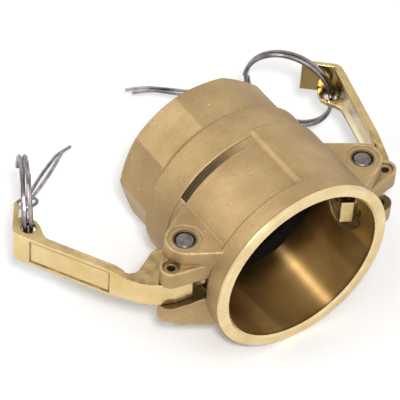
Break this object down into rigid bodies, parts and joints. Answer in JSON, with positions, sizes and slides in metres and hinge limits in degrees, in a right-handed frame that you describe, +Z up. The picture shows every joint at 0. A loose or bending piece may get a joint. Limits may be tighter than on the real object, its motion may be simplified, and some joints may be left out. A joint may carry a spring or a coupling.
{
  "type": "cam and groove coupler",
  "caption": "Brass cam and groove coupler: a 2 inch socket closed by two cam arms with pull rings and safety pins, reducing to a ten-sided end with a G 1 1/2 female thread.",
  "frame": {"origin": "centre of the socket's mouth, on the mouth's plane", "axes": "+X to the right cam arm, -Y out of the socket's mouth and +Y out of the threaded end, +Z up along the arm pins"},
  "size_m": [0.1519, 0.1342, 0.0734],
  "materials": {
    "cast_brass": "cast, fine matte grain",
    "bright_brass": "polished, slightly waxy",
    "pin_steel": "plain grey steel",
    "wire_steel": "drawn stainless wire",
    "black_rubber": "moulded rubber"
  },
  "bodies": {
    "body": {"coupler_body": "cast_brass", "gasket": "black_rubber", "left_arm_pin": "pin_steel", "right_arm_pin": "pin_steel"},
    "left_arm": {"left_cam_arm": "bright_brass"},
    "right_arm": {"right_cam_arm": "bright_brass"},
    "left_ring": {"left_pull_ring": "wire_steel"},
    "right_ring": {"right_pull_ring": "wire_steel"},
    "left_pin": {"left_safety_pin": "wire_steel"},
    "right_pin": {"right_safety_pin": "wire_steel"}
  },
  "joints": [
    {"name": "left_arm_swing", "type": "hinge", "parent": "body", "child": "left_arm", "pos_m": [-0.0389, 0.0204, 0], "axis": [0, 0, 1], "range_deg": [-31, 74]},
    {"name": "right_arm_swing", "type": "hinge", "parent": "body", "child": "right_arm", "pos_m": [0.0389, 0.0204, 0], "axis": [0, 0, -1], "range_deg": [-15, 90]},
    {"name": "left_ring_swing", "type": "hinge", "parent": "left_arm", "child": "left_ring", "pos_m": [-0.07717, 0.06274, 0.0058], "axis": [0, 0, -1], "range_deg": [-4, 36]},
    {"name": "right_ring_swing", "type": "hinge", "parent": "right_arm", "child": "right_ring", "pos_m": [0.06402, 0.07165, -0.0058], "axis": [0, 0, 1], "range_deg": [0, 38]},
    {"name": "left_pin_swing", "type": "hinge", "parent": "left_ring", "child": "left_pin", "pos_m": [-0.06235, 0.08893, -0.01239], "axis": [0.332, 0.6243, 0.7071], "range_deg": [-20, 20]},
    {"name": "right_pin_swing", "type": "hinge", "parent": "right_ring", "child": "right_pin", "pos_m": [0.04813, 0.09661, -0.02079], "axis": [0.3954, -0.5862, -0.7071], "range_deg": [-20, 20]}
  ]
}
